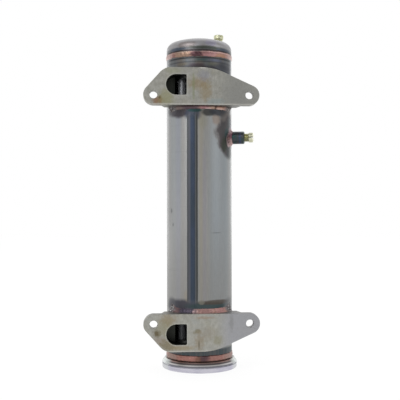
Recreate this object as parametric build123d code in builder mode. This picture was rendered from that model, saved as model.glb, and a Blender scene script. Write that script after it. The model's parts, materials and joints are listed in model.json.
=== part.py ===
import os
from math import acos, asin, cos, degrees, radians, sin, sqrt, tan

from build123d import *

# Millimetres. The origin is the centre of the collar's open face. +Z runs up the shell to the dome,
# the flange faces look along -Y, and the vent boss points along +X.

# Shell: round welded tube, its seam a little left of the flange faces' middle
shell_outer_d = 76.1
shell_wall = 2.0
seam_angle = 15.0
seam_bead_w = 4.0
seam_bead_h = 0.35
seam_end_gap = 1.0

# Clamp collar on the open end: conical back, thin groove round the rim, register for a pipe's spigot
rim_overhang = 5.45
rim_h = 7.1
rim_chamfer = 0.5
rim_groove_w = 1.0
rim_groove_depth = 0.9
rim_groove_z = 5.6
collar_cone_h = 4.1
collar_neck_wall = 2.2
register_step = 0.95
register_depth = 4.0

# Port flanges: a flat plate on a saddle block
flange_rise = 5.3
flange_pitch = 257.2
face_standoff = 4.35
plate_t = 10.0
plate_w = 42.4
plate_edge_break = 0.4
hole_spacing = 108.2
hole_d = 9.0
lobe_r = 11.4
steep_side_angle = 48.0
steep_corner_r = 18.0
shallow_side_angle = 24.4
shallow_corner_r = 60.0
saddle_depth = 13.9
saddle_cheek = 3.4
saddle_taper = 3.6

# D-shaped oil port through each flange
port_size = 22.8
port_offset = 28.4
port_edge = 8.1
port_corner_r = 1.5
port_floor_t = 2.5

# Tube plates and cooling tubes
tube_plate_t = 5.0
tube_plate_inset = 2.8
tube_d = 9.1
tube_wall = 0.8
tube_web = 3.8
tube_row_gap = 12.0
tube_stub = 1.0

# Baffles across the tubes, and the plate that parts the two water passes
baffle_count = 3
baffle_t = 1.5
baffle_gap = 0.2
baffle_window = 15.7
partition_t = 2.0
partition_setback = 0.5

# Drawn end cap, jogged in to a spigot
cap_rise = 16.4
cap_spigot_h = 12.0
cap_skirt_h = 9.6
cap_knuckle_r = 9.0
cap_crown_r = 100.0

# Copper braze: bands round the shell, fillets at the saddles and bosses
band_t = 1.1
cap_band_h = 6.5
collar_band_h = 7.5
saddle_fillet_out = 2.2
saddle_fillet_along = 4.2
saddle_fillet_end_gap = 1.5
vent_boss_fillet = 3.0
cap_boss_fillet = 1.2

# Threaded bosses
boss_d = 14.6
boss_bore_d = 9.6
boss_chamfer = 1.0
vent_drop = 33.9
vent_angle = 14.0
vent_boss_h = 15.6
cap_boss_inset = 9.2
cap_boss_angle = 31.5
cap_boss_h = 3.6

# Slotted screw plugs
plug_head_d = 11.4
plug_head_h = 5.2
plug_neck_h = 4.9
plug_screw_h = 9.0
plug_slot_w = 1.5
plug_slot_depth = 2.8
cap_plug_turn = 25.0

# Radii
shell_r = shell_outer_d / 2
shell_bore_r = shell_r - shell_wall
rim_r = shell_r + rim_overhang
register_r = shell_bore_r + register_step
hole_r = hole_d / 2
tube_r = tube_d / 2
boss_r = boss_d / 2
boss_bore_r = boss_bore_d / 2

# Heights, from the collar up to the dome
collar_top_z = rim_h + collar_cone_h
collar_band_top_z = collar_top_z + collar_band_h
lower_hole_z = collar_band_top_z + flange_rise + plate_w - lobe_r
middle_z = lower_hole_z + flange_pitch / 2
hole_z = lower_hole_z + flange_pitch
plate_inner_z = hole_z - lobe_r
plate_outer_z = plate_inner_z + plate_w
port_z = plate_outer_z - port_edge - port_size / 2
tube_plate_z = plate_outer_z - port_edge - tube_plate_inset
tube_top_z = tube_plate_z + tube_plate_t + tube_stub
vent_z = plate_inner_z - vent_drop
cap_joint_z = plate_outer_z + cap_rise
cap_knuckle_z = cap_joint_z + cap_skirt_h

# Depths in front of the shell's axis
mount_face_depth = shell_r + face_standoff
plate_back_depth = mount_face_depth - plate_t
saddle_back_depth = plate_back_depth - saddle_depth
port_floor_depth = saddle_back_depth + port_floor_t

# Half widths of the saddle block, at its back and where it meets the plate
saddle_back_x = shell_r + saddle_cheek
saddle_root_x = saddle_back_x + saddle_taper

# The dome's crown is tangent to its knuckle
crown_half_angle = degrees(asin((shell_r - cap_knuckle_r) / (cap_crown_r - cap_knuckle_r)))
crown_centre_z = cap_knuckle_z - (cap_crown_r - cap_knuckle_r) * cos(radians(crown_half_angle))

# The flange's slanted sides are tangent to the bolt lobes
steep_slope = radians(steep_side_angle)
steep_foot_x = -hole_spacing / 2 - lobe_r * (1 + cos(steep_slope)) / sin(steep_slope)
steep_corner_x = steep_foot_x + plate_w / tan(steep_slope)
shallow_slope = radians(shallow_side_angle)
shallow_foot_x = hole_spacing / 2 + lobe_r * (1 + cos(shallow_slope)) / sin(shallow_slope)
shallow_corner_x = shallow_foot_x - plate_w / tan(shallow_slope)

# Everything below the middle of the shell mirrors what is above it
middle_plane = Plane.XY.offset(middle_z)
vent_direction = (cos(radians(vent_angle)), -sin(radians(vent_angle)), 0)
vent_foot = Plane(
    origin=Vector(*vent_direction) * shell_r + Vector(0, 0, vent_z),
    x_dir=(0, 0, 1),
    z_dir=vent_direction,
)
vent_seat = vent_foot.offset(vent_boss_h)
cap_boss_reach = shell_r - cap_boss_inset
cap_boss_x = cap_boss_reach * cos(radians(cap_boss_angle))
cap_boss_y = cap_boss_reach * sin(radians(cap_boss_angle))
cap_foot_rise = sqrt(cap_crown_r**2 - cap_boss_reach**2)
cap_foot = Plane(
    origin=(cap_boss_x, cap_boss_y, crown_centre_z + cap_foot_rise),
    z_dir=(cap_boss_x, cap_boss_y, cap_foot_rise),
)
cap_seat = Plane(
    origin=(cap_boss_x, cap_boss_y, crown_centre_z + cap_foot_rise + cap_boss_h),
    x_dir=(cos(radians(cap_plug_turn)), sin(radians(cap_plug_turn)), 0),
    z_dir=(0, 0, 1),
)

# How far the bosses are drawn down from their seats, before the surface below trims them
vent_length = vent_boss_h + boss_r
cap_length = cap_seat.origin.Z - cap_joint_z


def save(piece, name):
    """Name a finished piece and write it to its own file."""
    piece.label = name
    export_step(piece, f"parts/{name}.step")


def radial_plane(angle):
    """Plane through the shell's axis, its x pointing outwards at an angle from +X and its y up."""
    turn = radians(angle)
    return Plane(origin=(0, 0, 0), x_dir=(cos(turn), sin(turn), 0), z_dir=(sin(turn), -cos(turn), 0))


def plate_outline(depth):
    """The flange's four-sided outline: a bolt lobe at each sharp corner, a wide arc at each blunt one."""
    with BuildSketch(Plane.XZ.offset(depth)) as outline:
        with BuildLine():
            Polyline(
                (steep_foot_x, plate_inner_z),
                (shallow_foot_x, plate_inner_z),
                (shallow_corner_x, plate_outer_z),
                (steep_corner_x, plate_outer_z),
                close=True,
            )
        make_face()
        fillet(outline.vertices().group_by(Axis.Y)[0], lobe_r)
        fillet(outline.vertices().group_by(Axis.Y)[-1].sort_by(Axis.X)[0], steep_corner_r)
        fillet(outline.vertices().group_by(Axis.Y)[-1].sort_by(Axis.X)[-1], shallow_corner_r)
    return outline.sketch


def port_outline(depth):
    """The D of the oil port: round towards the shell's edge, straight towards its middle."""
    with BuildSketch(Plane.XZ.offset(depth)) as outline:
        with Locations((-port_offset, port_z)):
            Circle(port_size / 2)
        with Locations((-port_offset + port_size / 4, port_z)):
            Rectangle(port_size / 2, port_size)
        fillet(outline.vertices().group_by(Axis.X)[-1], port_corner_r)
    return outline.sketch


def port_passage():
    """The straight passage from the mounting face to the floor behind the shell's wall."""
    with BuildPart() as passage:
        extrude(port_outline(port_floor_depth), amount=mount_face_depth - port_floor_depth)
    return passage.part


def tube_places():
    """Staggered rows, three tubes near the middle and four outside them, on both sides of the middle."""
    outer_y = 1.5 * tube_row_gap
    outer_x = sqrt((shell_bore_r - tube_web - tube_r) ** 2 - outer_y**2)
    pitch = outer_x / 1.5
    inner = GridLocations(pitch, tube_row_gap, 3, 2)
    outer = GridLocations(pitch, 3 * tube_row_gap, 4, 2)
    return [place.position for place in [*inner.locations, *outer.locations]]


def dome_arcs(inset):
    """Knuckle and crown of the dome, moved inwards by the inset."""
    knuckle = CenterArc(
        (shell_r - cap_knuckle_r, cap_knuckle_z), cap_knuckle_r - inset, 0, 90 - crown_half_angle
    )
    crown = CenterArc(
        (0, crown_centre_z), cap_crown_r - inset, 90 - crown_half_angle, crown_half_angle
    )
    return knuckle, crown


def dome_space():
    """Everything inside the cap's outer surface, to seat the boss and its braze on the dome."""
    with BuildPart() as space:
        with BuildSketch(Plane.XZ):
            with BuildLine():
                knuckle, crown = dome_arcs(0)
                Polyline(crown @ 1, (0, cap_joint_z), (shell_r, cap_joint_z), knuckle @ 0)
            make_face()
        revolve(axis=Axis.Z)
    return space.part


def shell_space():
    """Everything inside the shell's outer surface, to seat what is brazed on to it."""
    with BuildPart() as space:
        with BuildSketch():
            Circle(shell_r)
        extrude(amount=cap_joint_z)
    return space.part


def threaded_boss(seat, length, space):
    """Round boss that ends at the seat plane and is fitted to the surface that it stands on."""
    with BuildPart() as boss:
        with BuildSketch(seat):
            Circle(boss_r)
            Circle(boss_bore_r, mode=Mode.SUBTRACT)
        extrude(amount=-length)
        outer_rims = boss.edges().filter_by(GeomType.CIRCLE).group_by(SortBy.RADIUS)[-1]
        chamfer(outer_rims.sort_by_distance(seat.origin)[0], length=boss_chamfer)
        add(space, mode=Mode.SUBTRACT)
    return boss.part


def boss_braze(foot, seat, length, leg, space):
    """Copper fillet round the foot of a boss, square to the surface that the boss stands on."""
    with BuildPart() as braze:
        with BuildSketch(foot.offset(-leg)):
            Circle(boss_r + 2 * leg)
        with BuildSketch(foot.offset(leg)):
            Circle(boss_r)
        loft()
        with BuildSketch(seat):
            Circle(boss_r)
        extrude(amount=length, both=True, mode=Mode.SUBTRACT)
        add(space, mode=Mode.SUBTRACT)
    return braze.part


def slotted_plug(seat):
    """Screw plug whose neck stands out of a boss at the seat plane."""
    with BuildPart() as plug:
        with BuildSketch(seat.offset(-plug_screw_h)):
            Circle(boss_bore_r)
        extrude(amount=plug_screw_h + plug_neck_h)
        with BuildSketch(seat.offset(plug_neck_h)):
            Circle(plug_head_d / 2)
        extrude(amount=plug_head_h)
        with BuildSketch(seat.offset(plug_neck_h + plug_head_h)):
            Rectangle(plug_slot_w, 2 * plug_head_d)
        extrude(amount=-plug_slot_depth, mode=Mode.SUBTRACT)
    return plug.part


def braze_band(start_z, height):
    """Copper band round the shell, swelling to its full thickness over its middle third."""
    with BuildPart() as band:
        with BuildSketch(Plane.XZ):
            with BuildLine():
                Polyline(
                    (shell_r, start_z),
                    (shell_r + band_t, start_z + height / 3),
                    (shell_r + band_t, start_z + 2 * height / 3),
                    (shell_r, start_z + height),
                    close=True,
                )
            make_face()
        revolve(axis=Axis.Z)
    return band.part


os.makedirs("parts", exist_ok=True)

upper_passage = port_passage()
lower_passage = mirror(upper_passage, about=middle_plane)

# Shell with its seam bead between the saddles, two oil windows and the vent hole
with BuildPart() as shell_tube:
    with BuildSketch(Plane.XY.offset(register_depth)):
        Circle(shell_r)
    extrude(amount=cap_joint_z - register_depth)
    bead_margin = saddle_fillet_along + seam_end_gap
    with BuildSketch(middle_plane):
        Circle(shell_r + seam_bead_h)
        with PolarLocations(shell_r, 1, start_angle=-90 - seam_angle):
            Rectangle(shell_r, seam_bead_w, mode=Mode.INTERSECT)
    extrude(amount=plate_inner_z - bead_margin - middle_z, both=True)
    with BuildSketch(Plane.XY.offset(register_depth)):
        Circle(shell_bore_r)
    extrude(amount=cap_joint_z - register_depth, mode=Mode.SUBTRACT)
    add(upper_passage, mode=Mode.SUBTRACT)
    add(lower_passage, mode=Mode.SUBTRACT)
    with BuildSketch(vent_seat):
        Circle(boss_bore_r)
    extrude(amount=-shell_r, mode=Mode.SUBTRACT)
save(shell_tube.part, "shell_tube")

# Collar, turned from one ring and slipped over the shell's end
with BuildPart() as end_collar:
    groove_low_z = rim_groove_z - rim_groove_w / 2
    groove_high_z = rim_groove_z + rim_groove_w / 2
    with BuildSketch(Plane.XZ):
        with BuildLine():
            Polyline(
                (register_r, 0),
                (rim_r - rim_chamfer, 0),
                (rim_r, rim_chamfer),
                (rim_r, groove_low_z),
                (rim_r - rim_groove_depth, groove_low_z),
                (rim_r - rim_groove_depth, groove_high_z),
                (rim_r, groove_high_z),
                (rim_r, rim_h),
                (shell_r + collar_neck_wall, collar_top_z),
                (shell_r, collar_top_z),
                (shell_r, register_depth),
                (register_r, register_depth),
                close=True,
            )
        make_face()
    revolve(axis=Axis.Z)
save(end_collar.part, "end_collar")

# Upper flange: the plate, and behind it a block with tapered flanks that hugs the shell
with BuildPart() as upper_port_flange:
    extrude(plate_outline(saddle_back_depth), amount=saddle_depth)
    with BuildSketch(Plane.XY.offset(plate_inner_z)):
        with BuildLine():
            Polyline(
                (-saddle_root_x, -plate_back_depth),
                (-saddle_back_x, -saddle_back_depth),
                (saddle_back_x, -saddle_back_depth),
                (saddle_root_x, -plate_back_depth),
                close=True,
            )
        make_face()
    extrude(amount=plate_w, mode=Mode.INTERSECT)
    extrude(plate_outline(plate_back_depth), amount=plate_t)
    add(shell_space(), mode=Mode.SUBTRACT)
    add(upper_passage, mode=Mode.SUBTRACT)
    with Locations(Plane.XZ.offset(mount_face_depth)):
        with Locations((-hole_spacing / 2, hole_z), (hole_spacing / 2, hole_z)):
            Hole(hole_r)
    chamfer(upper_port_flange.faces().sort_by(Axis.Y)[0].edges(), length=plate_edge_break)
save(upper_port_flange.part, "upper_port_flange")

with BuildPart() as lower_port_flange:
    mirror(upper_port_flange.part, about=middle_plane)
save(lower_port_flange.part, "lower_port_flange")

# Copper fillet along the saddle's inner edge and up both of its back edges
with BuildPart() as upper_saddle_braze:
    edge_angle = acos(saddle_back_depth / shell_r)
    end_angle = edge_angle + saddle_fillet_along / shell_r
    middle_angle = (edge_angle + end_angle) / 2
    flank_x = shell_r * sin(edge_angle)
    flank_top_z = plate_outer_z - (saddle_back_x - shallow_corner_x) * tan(shallow_slope)
    fillet_foot_z = plate_inner_z - saddle_fillet_along
    with BuildSketch(radial_plane(-90 - degrees(end_angle))):
        with BuildLine():
            Polyline(
                (shell_r, plate_inner_z),
                (shell_r + saddle_fillet_out, plate_inner_z),
                (shell_r, fillet_foot_z),
                close=True,
            )
        make_face()
    revolve(axis=Axis.Z, revolution_arc=2 * degrees(end_angle))
    with BuildSketch(Plane.XY.offset(fillet_foot_z)) as flank_fillets:
        with BuildLine():
            Polyline(
                (flank_x, -saddle_back_depth),
                (flank_x + saddle_fillet_out, -saddle_back_depth),
                (shell_r * sin(end_angle), -shell_r * cos(end_angle)),
            )
            ThreePointArc(
                (shell_r * sin(end_angle), -shell_r * cos(end_angle)),
                (shell_r * sin(middle_angle), -shell_r * cos(middle_angle)),
                (flank_x, -saddle_back_depth),
            )
        make_face()
        mirror(about=Plane.YZ)
    extrude(amount=flank_top_z - saddle_fillet_end_gap - fillet_foot_z)
save(upper_saddle_braze.part, "upper_saddle_braze")

with BuildPart() as lower_saddle_braze:
    mirror(upper_saddle_braze.part, about=middle_plane)
save(lower_saddle_braze.part, "lower_saddle_braze")

# End cap: one drawn cup, its skirt jogged in to fit the shell's bore
with BuildPart() as end_cap:
    with BuildSketch(Plane.XZ):
        with BuildLine():
            outer_knuckle, outer_crown = dome_arcs(0)
            inner_knuckle, inner_crown = dome_arcs(shell_wall)
            Line(outer_crown @ 1, inner_crown @ 1)
            Polyline(
                inner_knuckle @ 0,
                (shell_bore_r, cap_joint_z + shell_wall),
                (shell_bore_r - shell_wall, cap_joint_z),
                (shell_bore_r - shell_wall, cap_joint_z - cap_spigot_h),
                (shell_bore_r, cap_joint_z - cap_spigot_h),
                (shell_bore_r, cap_joint_z),
                (shell_r, cap_joint_z),
                outer_knuckle @ 0,
            )
        make_face()
    revolve(axis=Axis.Z)
    with BuildSketch(cap_seat):
        Circle(boss_bore_r)
    extrude(amount=-cap_length, mode=Mode.SUBTRACT)
save(end_cap.part, "end_cap")

save(braze_band(cap_joint_z - cap_band_h / 2, cap_band_h), "end_cap_braze")
save(braze_band(collar_top_z, collar_band_h), "end_collar_braze")

# Bosses, their braze fillets and their plugs
save(threaded_boss(vent_seat, vent_length, shell_space()), "vent_boss")
save(boss_braze(vent_foot, vent_seat, vent_length, vent_boss_fillet, shell_space()), "vent_boss_braze")
save(slotted_plug(vent_seat), "vent_plug")
save(threaded_boss(cap_seat, cap_length, dome_space()), "cap_boss")
save(boss_braze(cap_foot, cap_seat, cap_length, cap_boss_fillet, dome_space()), "cap_boss_braze")
save(slotted_plug(cap_seat), "cap_plug")

# Tube plates, just inside the ports' outer ends
with BuildPart() as upper_tube_plate:
    with BuildSketch(Plane.XY.offset(tube_plate_z)):
        Circle(shell_bore_r)
        with Locations(*tube_places()):
            Circle(tube_r, mode=Mode.SUBTRACT)
    extrude(amount=tube_plate_t)
save(upper_tube_plate.part, "upper_tube_plate")

with BuildPart() as lower_tube_plate:
    mirror(upper_tube_plate.part, about=middle_plane)
save(lower_tube_plate.part, "lower_tube_plate")

# Cooling tubes, a little longer than the span over both tube plates
for number, place in enumerate(tube_places(), start=1):
    with BuildPart() as cooling_tube:
        with BuildSketch(middle_plane):
            with Locations(place):
                Circle(tube_r)
                Circle(tube_r - tube_wall, mode=Mode.SUBTRACT)
        extrude(amount=tube_top_z - middle_z, both=True)
    save(cooling_tube.part, f"cooling_tube_{number:02d}")

# Baffles, evenly spaced between the flanges, open to the right and to the left in turn
lower_inner_z = 2 * middle_z - plate_inner_z
baffle_step = (plate_inner_z - lower_inner_z) / (baffle_count + 1)
baffle_r = shell_bore_r - baffle_gap
for number in range(1, baffle_count + 1):
    open_side = 1 if number % 2 else -1
    with BuildPart() as baffle:
        with BuildSketch(Plane.XY.offset(lower_inner_z + number * baffle_step - baffle_t / 2)):
            Circle(baffle_r)
            with Locations(*tube_places()):
                Circle(tube_r, mode=Mode.SUBTRACT)
            with Locations((open_side * (shell_bore_r - baffle_window / 2), 0)):
                Rectangle(baffle_window, shell_outer_d, mode=Mode.SUBTRACT)
        extrude(amount=baffle_t)
    save(baffle.part, f"baffle_{number}")

# Upright plate between the water passes, from the lower tube plate almost to the shell's end
with BuildPart() as pass_partition:
    partition_foot_z = register_depth + partition_setback
    with BuildSketch(Plane.XY.offset(partition_foot_z)):
        Circle(shell_bore_r)
        Rectangle(shell_outer_d, partition_t, mode=Mode.INTERSECT)
    extrude(amount=2 * middle_z - tube_plate_z - tube_plate_t - partition_foot_z)
save(pass_partition.part, "pass_partition")
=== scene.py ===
import json
import math

import bmesh
import bpy
from mathutils import Matrix, Vector, noise


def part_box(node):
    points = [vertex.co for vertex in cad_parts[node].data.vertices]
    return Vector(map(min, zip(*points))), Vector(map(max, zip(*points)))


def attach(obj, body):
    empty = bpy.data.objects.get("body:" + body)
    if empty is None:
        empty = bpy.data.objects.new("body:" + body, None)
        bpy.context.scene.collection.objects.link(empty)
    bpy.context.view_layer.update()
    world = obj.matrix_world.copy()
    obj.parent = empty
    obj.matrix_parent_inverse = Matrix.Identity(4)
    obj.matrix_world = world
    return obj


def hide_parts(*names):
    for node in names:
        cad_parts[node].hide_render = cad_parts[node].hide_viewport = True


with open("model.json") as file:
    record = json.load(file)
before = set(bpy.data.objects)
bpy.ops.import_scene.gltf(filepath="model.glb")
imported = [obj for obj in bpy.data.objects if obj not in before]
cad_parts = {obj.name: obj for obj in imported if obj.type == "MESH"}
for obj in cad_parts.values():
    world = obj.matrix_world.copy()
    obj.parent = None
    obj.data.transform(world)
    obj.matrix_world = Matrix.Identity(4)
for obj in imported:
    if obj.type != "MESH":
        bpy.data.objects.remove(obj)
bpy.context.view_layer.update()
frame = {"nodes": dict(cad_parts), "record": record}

# Camera: the photograph in pixels, then where the camera stands in metres and how it turns in degrees
PHOTO_SIDE = 400
FOCAL_PX = 742.0
SHELL_AXIS_PX = 199.25
HORIZON_PX = 209.2
CAMERA_DISTANCE = 0.874
CAMERA_HEIGHT = 0.1836
CAMERA_AZIMUTH = -3.9
CAMERA_ROLL = -0.09
SENSOR_WIDTH = 36.0

# Sizes in metres, read from the frame or repeated from the part's source
MM = 0.001
SHELL_R = (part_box("end_cap")[1].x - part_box("end_cap")[0].x) / 2
SADDLE_BACK_Y = -18.5 * MM
FLANK_X = math.sqrt(SHELL_R**2 - SADDLE_BACK_Y**2)
CROWN_R = 100 * MM
KNUCKLE_R = 9 * MM
BOSS_R = 7.3 * MM
VENT_BOSS_H = 15.6 * MM
VENT_TURN = math.radians(14.0)
VENT_OUT = Vector((math.cos(VENT_TURN), -math.sin(VENT_TURN), 0))
PLUG_NECK_H = 4.9 * MM
PLUG_HEAD_H = 5.2 * MM
PLUG_NECK_R = 4.8 * MM
PLUG_HEAD_R = 5.7 * MM
PLUG_SLOT_W = 1.5 * MM
PLUG_SLOT_DEPTH = 2.8 * MM
CAP_PLUG_TURN = math.radians(25.0)
THREAD_PITCH = 1.25 * MM
THREAD_DEPTH = 0.55 * MM

# How far copper reaches into steel: where it stands on it, at its thin edge, and behind its skin
LAP = 0.05 * MM
EDGE_LAP = 0.08 * MM
ROOT = 0.6 * MM
SADDLE_ROOT = 0.8 * MM

# Sizes in mm, for the node graphs, and the slope of the upper plate's outer edge
FACE_Y = -42.4
BACK_Y = SADDLE_BACK_Y / MM
PORT_OFFSET = 28.4
PORT_R = 11.4
UPPER_PORT_Z = 323.7
LOWER_PORT_Z = 43.5
UPPER_FOOT_Z = 301.6
LOWER_FOOT_Z = 24.6
PLATE_TOP_Z = 343.2
PLATE_CORNER_X = 13.4
PLATE_SLOPE = 0.454
VENT_Z = 266.9
VENT_HEAD_OUT = 58.6

# Floor, lamps and background
WHITE = (1, 1, 1, 1)
FLOOR_GREY = (0.86, 0.86, 0.86, 1)
FLOOR_GLOW = 1.085
GLOW_SHARE = 0.8
LAMP_AIM = (0, 0, 0.2)


def add_camera():
    """The photograph's camera: level with the shell's middle, tipped up a little, no shift."""
    data = bpy.data.cameras.new("camera")
    data.sensor_width = SENSOR_WIDTH
    data.lens = SENSOR_WIDTH * FOCAL_PX / PHOTO_SIDE
    camera = bpy.data.objects.new("camera", data)
    turn = math.radians(CAMERA_AZIMUTH)
    pitch = math.atan((HORIZON_PX - PHOTO_SIDE / 2) / FOCAL_PX)
    yaw = math.atan((PHOTO_SIDE / 2 - SHELL_AXIS_PX) / FOCAL_PX)
    camera.location = (
        CAMERA_DISTANCE * math.sin(turn),
        -CAMERA_DISTANCE * math.cos(turn),
        CAMERA_HEIGHT,
    )
    aim = Matrix.Rotation(turn - yaw, 4, "Z") @ Matrix.Rotation(math.pi / 2 + pitch, 4, "X")
    aim = aim @ Matrix.Rotation(math.radians(CAMERA_ROLL), 4, "Z")
    camera.rotation_euler = aim.to_euler()
    bpy.context.scene.collection.objects.link(camera)
    bpy.context.scene.camera = camera


# ---------------------------------------------------------------- node graphs


def tone(red, green, blue):
    """A colour named by its screen values, 0 to 255, as linear values."""
    def linear(value):
        value = value / 255
        return value / 12.92 if value <= 0.04045 else ((value + 0.055) / 1.055) ** 2.4
    return (linear(red), linear(green), linear(blue), 1.0)


class Tree:
    """An emptied node tree. A value is a number, a colour, a vector or a node's output."""

    def __init__(self, tree):
        self.tree = tree
        tree.nodes.clear()

    def node(self, kind, inputs=None, **settings):
        """A new node with its named inputs fed and its settings made."""
        made = self.tree.nodes.new(kind)
        for key, value in settings.items():
            setattr(made, key, value)
        for name, value in (inputs or {}).items():
            self.feed(made.inputs[name], value)
        return made

    def feed(self, socket, value):
        if isinstance(value, bpy.types.NodeSocket):
            self.tree.links.new(value, socket)
        else:
            socket.default_value = value

    def math(self, operation, *values, clamp=False):
        made = self.node("ShaderNodeMath", operation=operation, use_clamp=clamp)
        for socket, value in zip(made.inputs, values):
            self.feed(socket, value)
        return made.outputs[0]

    def ease(self, value, low, high, start=0.0, end=1.0):
        """A smooth step from start to end while the value goes from low to high."""
        span = {"Value": value, "From Min": low, "From Max": high, "To Min": start, "To Max": end}
        return self.node("ShaderNodeMapRange", span, interpolation_type="SMOOTHSTEP").outputs[0]


class Graph(Tree):
    """A metal's node tree: places in mm, angles from the front in degrees, and the colour so far."""

    def __init__(self, tree):
        super().__init__(tree)
        place = self.node("ShaderNodeTexCoord").outputs["Object"]
        self.place = self.vector("MULTIPLY", place, (1000.0, 1000.0, 1000.0))
        self.x, self.y, self.z = self.node("ShaderNodeSeparateXYZ", {"Vector": self.place}).outputs
        front = self.math("MULTIPLY", self.y, -1.0)
        self.angle = self.math("DEGREES", self.math("ARCTAN2", self.x, front))
        self.aside = self.math("ABSOLUTE", self.angle)
        self.reach = self.diagonal(self.x, self.y)
        self.colour = None

    def vector(self, operation, *values):
        made = self.node("ShaderNodeVectorMath", operation=operation)
        for socket, value in zip(made.inputs, values):
            self.feed(socket, value)
        return made.outputs[0]

    def along(self, direction):
        """Distance in mm from the origin along a direction."""
        made = self.node("ShaderNodeVectorMath", operation="DOT_PRODUCT")
        self.feed(made.inputs[0], self.place)
        self.feed(made.inputs[1], direction)
        return made.outputs["Value"]

    def diagonal(self, first, second):
        """The root of the sum of two squares."""
        squares = [self.math("MULTIPLY", value, value) for value in (first, second)]
        return self.math("SQRT", self.math("ADD", *squares))

    def times(self, *values):
        product = values[0]
        for value in values[1:]:
            product = self.math("MULTIPLY", product, value)
        return product

    def noise(self, size, detail=3.0, rough=0.55, twist=0.0, shift=0.0):
        """Noise from 0 to 1 whose lumps measure about size, in mm along each axis."""
        scale = tuple(1 / value for value in size)
        place = self.vector("MULTIPLY", self.place, scale)
        place = self.vector("ADD", place, (shift, shift * 1.7, shift * 0.6))
        return self.node("ShaderNodeTexNoise", {
            "Vector": place, "Scale": 1.0, "Detail": detail, "Roughness": rough, "Distortion": twist,
        }).outputs[0]

    def stripe(self, value, centre, half, soft):
        """1 within half of the centre, fading to 0 over twice the softness."""
        off = self.math("ABSOLUTE", self.math("SUBTRACT", value, centre))
        return self.ease(off, half - soft, half + soft, 1.0, 0.0)

    def patch(self, centre, half, soft=0.35, rag=0.5, size=(5, 5, 5), shift=0.0, across=None):
        """1 inside a ragged oval, 0 outside, centred on an angle, or another value across, and a height."""
        across = self.angle if across is None else across
        side = self.math("DIVIDE", self.math("SUBTRACT", across, centre[0]), half[0])
        rise = self.math("DIVIDE", self.math("SUBTRACT", self.z, centre[1]), half[1])
        ragged = self.math("MULTIPLY_ADD", self.noise(size, shift=shift), 2 * rag, -rag)
        return self.ease(self.math("ADD", self.diagonal(side, rise), ragged), 1 - soft, 1 + soft, 1.0, 0.0)

    def port_gap(self, height):
        """Distance in mm outside the D of the oil port at this height, negative inside it."""
        side = self.math("ADD", self.x, PORT_OFFSET)
        rise = self.math("ABSOLUTE", self.math("SUBTRACT", self.z, height))
        bow = self.diagonal(self.math("MINIMUM", side, 0.0), rise)
        return self.math("SUBTRACT", self.math("MAXIMUM", bow, side), PORT_R)

    def port(self, height):
        """1 inside the oil port at this height, from behind the flange's face to its passage's floor."""
        front = self.ease(self.y, FACE_Y + 0.1, FACE_Y + 0.5)
        depth = self.times(front, self.ease(self.y, BACK_Y - 0.3, BACK_Y - 1.5))
        return self.times(self.ease(self.port_gap(height), 0.9, 0.4), depth)

    def above_plate(self):
        """Height in mm over the upper plate's outer edge, level first and then falling to the right."""
        past = self.math("MAXIMUM", self.math("SUBTRACT", self.x, PLATE_CORNER_X), 0.0)
        drop = self.math("MULTIPLY_ADD", past, PLATE_SLOPE, -PLATE_TOP_Z)
        return self.math("ADD", self.z, drop)

    def mix(self, amount, first, second, blend="MIX"):
        """A blend of two colours, each a node's output or three screen values."""
        made = self.node("ShaderNodeMix", data_type="RGBA", blend_type=blend)
        for index, value in ((0, amount), (6, first), (7, second)):
            self.feed(made.inputs[index], tone(*value) if isinstance(value, tuple) else value)
        return made.outputs[2]

    def shade(self, colour, amount):
        """The colour made lighter or darker by a factor."""
        grey = self.node("ShaderNodeCombineXYZ")
        for socket in grey.inputs:
            self.feed(socket, amount)
        return self.mix(1.0, colour, grey.outputs[0], "MULTIPLY")

    def lay(self, mask, strength, paint):
        """Lays paint over the colour where the mask says, up to the strength."""
        self.colour = self.mix(self.math("MULTIPLY", mask, strength, clamp=True), self.colour, paint)

    def spots(self, rows, soft, rag, size, shift=0.0, step=1.0, across=None):
        """Lays ragged ovals, from rows of centre, half sizes, strength and paint."""
        for number, (centre, half, strength, paint) in enumerate(rows):
            oval = self.patch(centre, half, soft, rag, size, shift + number * step, across)
            self.lay(oval, strength, paint)

    def metal(self, roughness, height, depth, metallic=1.0):
        """Finishes the graph with a metal of its colour, a roughness and a relief, in mm."""
        relief = self.node("ShaderNodeBump", {"Strength": 1.0, "Distance": depth * MM, "Height": height})
        metal = self.node("ShaderNodeBsdfPrincipled", {
            "Base Color": self.colour, "Metallic": metallic, "Roughness": roughness,
            "Normal": relief.outputs[0],
        })
        self.node("ShaderNodeOutputMaterial", {"Surface": metal.outputs[0]})


def material(name):
    made = bpy.data.materials.new(name)
    made.use_nodes = True
    return made, Graph(made.node_tree)


# ---------------------------------------------------------------- metals


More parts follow.
